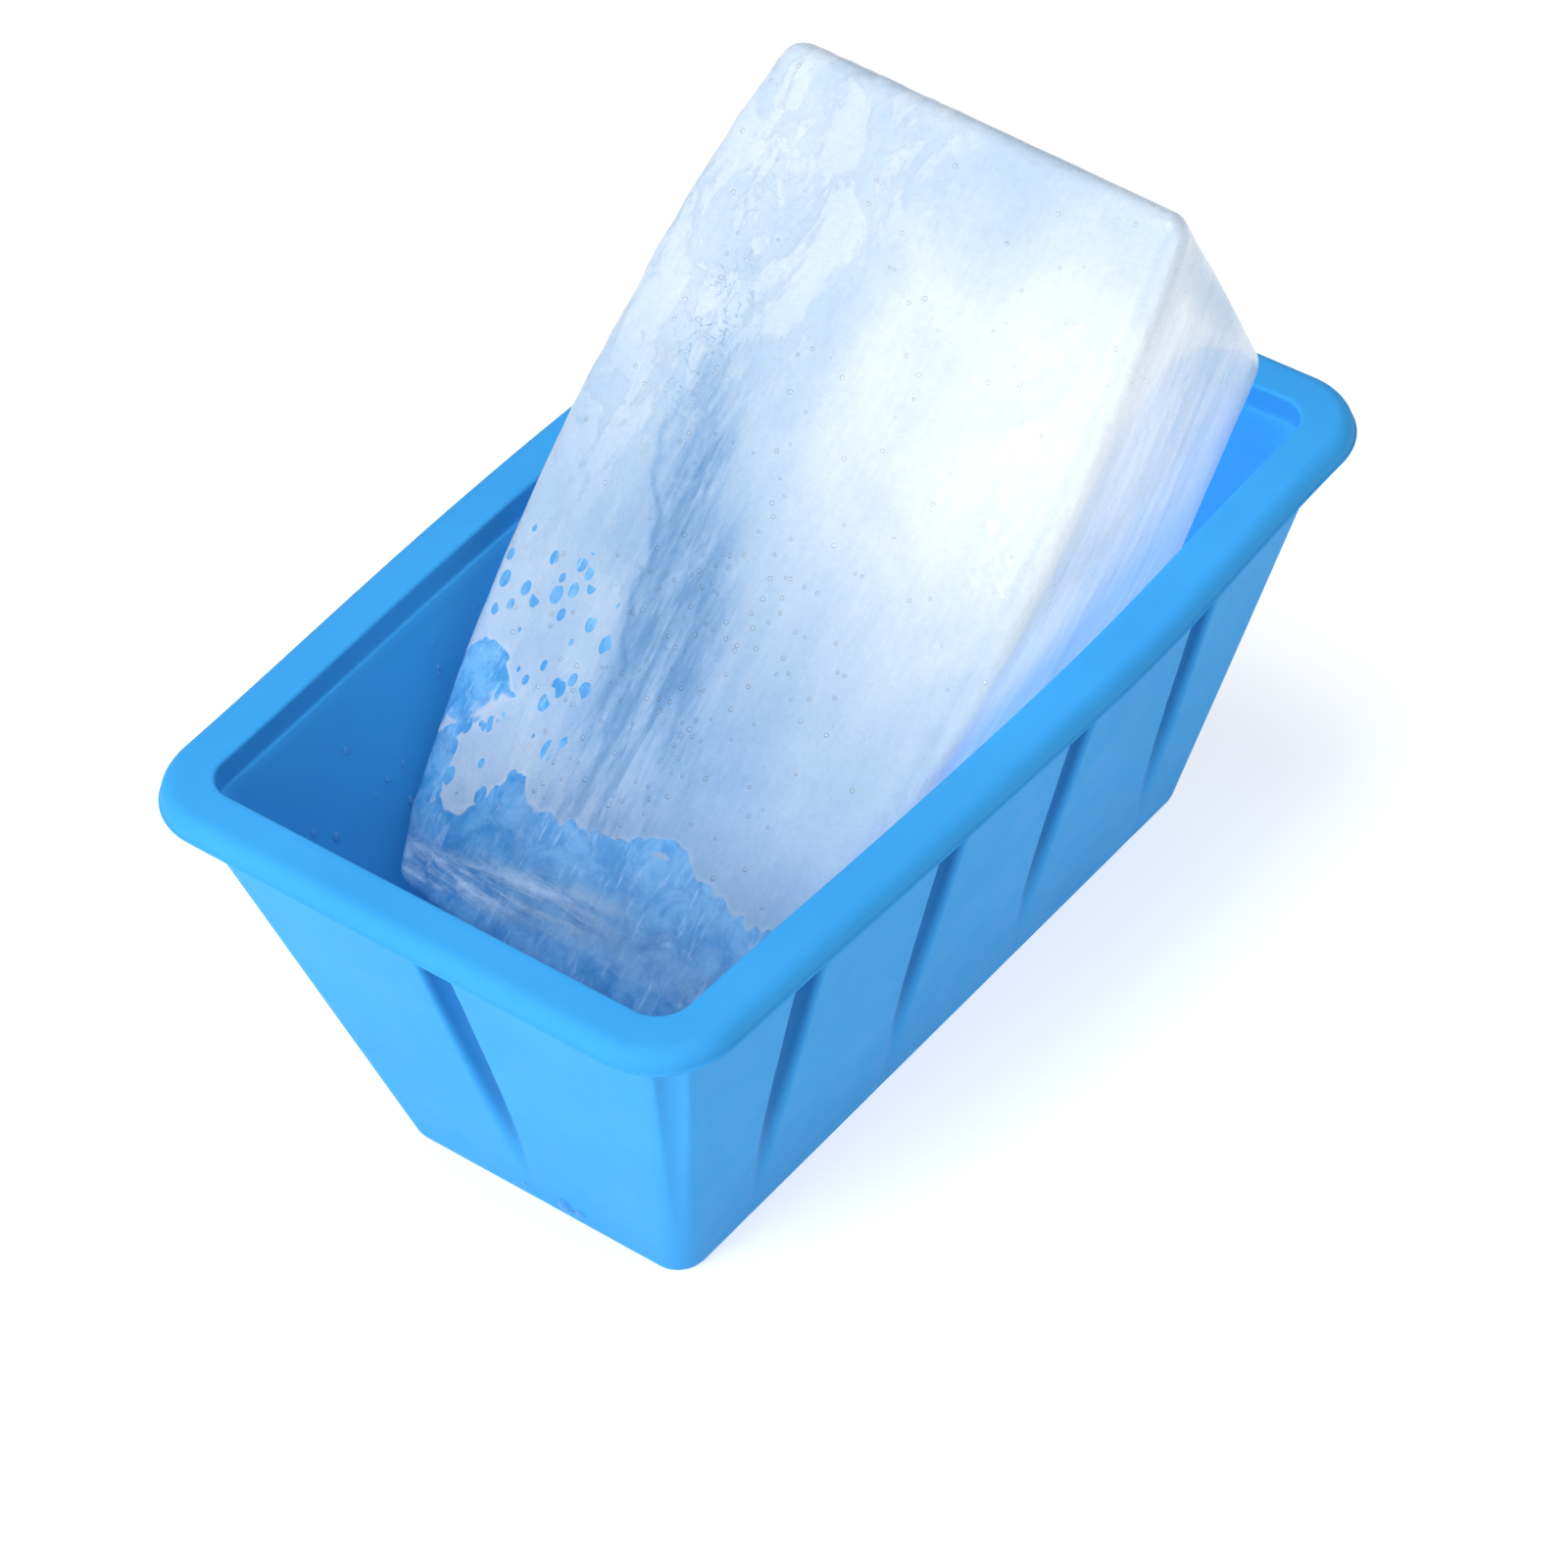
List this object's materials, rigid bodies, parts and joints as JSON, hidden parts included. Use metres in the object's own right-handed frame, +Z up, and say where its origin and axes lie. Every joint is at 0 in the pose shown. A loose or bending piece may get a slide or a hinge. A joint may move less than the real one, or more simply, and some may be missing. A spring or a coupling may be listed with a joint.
{
  "type": "silicone casting mould",
  "caption": "Flexible drafted loaf mould with a broad flat rim and fluted walls, with the clear block cast in it tilted half out.",
  "frame": {"origin": "middle of the mould's base, on the surface it stands on", "axes": "+X along the mould's length towards the end the block leans on, +Y across its width, +Z up out of the mouth"},
  "size_m": [0.3, 0.178, 0.2285],
  "materials": {
    "silicone": "satin",
    "cast": "gloss"
  },
  "bodies": {
    "mould": {"mould_shell": "silicone"},
    "block": {"cast_block": "cast"}
  },
  "joints": [
    {"name": "block_lift", "type": "slide", "parent": "mould", "child": "block", "axis": [0, 0, 1], "range_m": [0, 0.17]}
  ]
}
